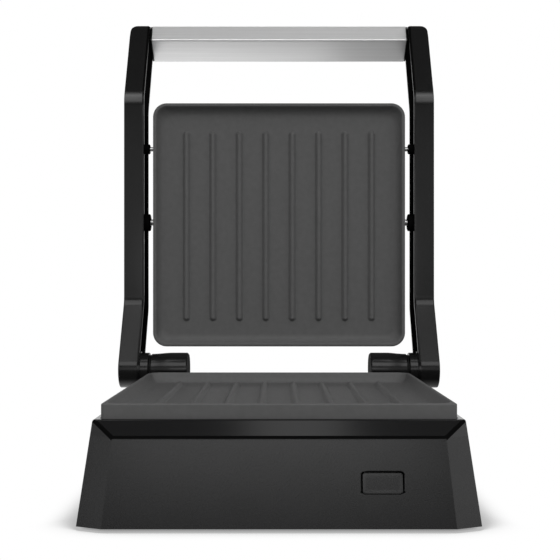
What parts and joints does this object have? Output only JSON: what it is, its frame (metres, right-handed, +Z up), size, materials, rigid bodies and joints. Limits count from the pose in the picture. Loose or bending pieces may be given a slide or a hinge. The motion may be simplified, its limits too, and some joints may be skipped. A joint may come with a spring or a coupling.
{
  "type": "sandwich maker",
  "caption": "Open contact grill with two ribbed tray plates, a faceted black base, angled arms and a brushed metal handle bar.",
  "frame": {"origin": "on the ground under the middle of the open grill's box", "axes": "+X to the right, +Y from the front to the rear, +Z up; the front face with the button looks along -Y"},
  "size_m": [0.2868, 0.3466, 0.4075],
  "materials": {
    "black_plastic": "satin black moulding",
    "grey_coating": "matt non-stick coating on cast aluminium",
    "brushed_aluminium": "brushed along the bar",
    "steel": "plated",
    "tin_plate": "pressed sheet",
    "heater_sheath": "oxidised steel sheath",
    "black_rubber": "matt",
    "pale_plastic": "matt electrical moulding",
    "washer_plastic": "low-friction moulding"
  },
  "bodies": {
    "base": {"base_housing": "black_plastic", "bottom_cover": "black_plastic", "cord_gland": "black_rubber", "terminal_block": "pale_plastic", "lower_grill_plate": "grey_coating", "lower_heating_element": "heater_sheath", "lower_reflector_pan": "tin_plate", "thermostat": "pale_plastic", "thermal_fuse": "steel", "button_guide": "black_plastic", "power_switch": "pale_plastic", "foot_1": "black_rubber", "cover_screw_1": "steel", "lower_pan_screw_1": "steel", "foot_2": "black_rubber", "cover_screw_2": "steel", "lower_pan_screw_2": "steel", "foot_3": "black_rubber", "cover_screw_3": "steel", "lower_pan_screw_3": "steel", "foot_4": "black_rubber", "cover_screw_4": "steel", "lower_pan_screw_4": "steel", "left_hinge_barrel": "black_plastic", "left_hinge_washer": "washer_plastic", "left_hinge_shaft": "steel", "right_hinge_barrel": "black_plastic", "right_hinge_washer": "washer_plastic", "right_hinge_shaft": "steel"},
    "arm_frame": {"handle_bar": "brushed_aluminium", "left_arm_shell": "black_plastic", "left_arm_cover": "black_plastic", "left_handle_plug": "black_plastic", "left_handle_screw": "steel", "left_pivot_pin": "steel", "left_limit_pin": "steel", "right_arm_shell": "black_plastic", "right_arm_cover": "black_plastic", "right_handle_plug": "black_plastic", "right_handle_screw": "steel", "right_pivot_pin": "steel", "right_limit_pin": "steel"},
    "upper_grill": {"upper_housing": "black_plastic", "upper_grill_plate": "grey_coating", "upper_heating_element": "heater_sheath", "upper_reflector_pan": "tin_plate", "left_pivot_bush": "washer_plastic", "right_pivot_bush": "washer_plastic", "upper_pan_screw_1": "steel", "upper_pan_screw_2": "steel", "upper_pan_screw_3": "steel", "upper_pan_screw_4": "steel"},
    "power_button": {"power_button": "black_plastic"}
  },
  "joints": [
    {"name": "arm_hinge", "type": "hinge", "parent": "base", "child": "arm_frame", "pos_m": [0, 0.08931, 0.0791], "axis": [1, 0, 0], "range_deg": [0, 90]},
    {"name": "upper_tilt", "type": "hinge", "parent": "arm_frame", "child": "upper_grill", "pos_m": [0, 0.11581, 0.2138], "axis": [1, 0, 0], "range_deg": [-2, 2]},
    {"name": "button_push", "type": "slide", "parent": "base", "child": "power_button", "axis": [0, 0.9872, -0.1595], "range_m": [0, 0.002], "stiffness_N_per_m": 600, "springref_m": -0.0005}
  ]
}
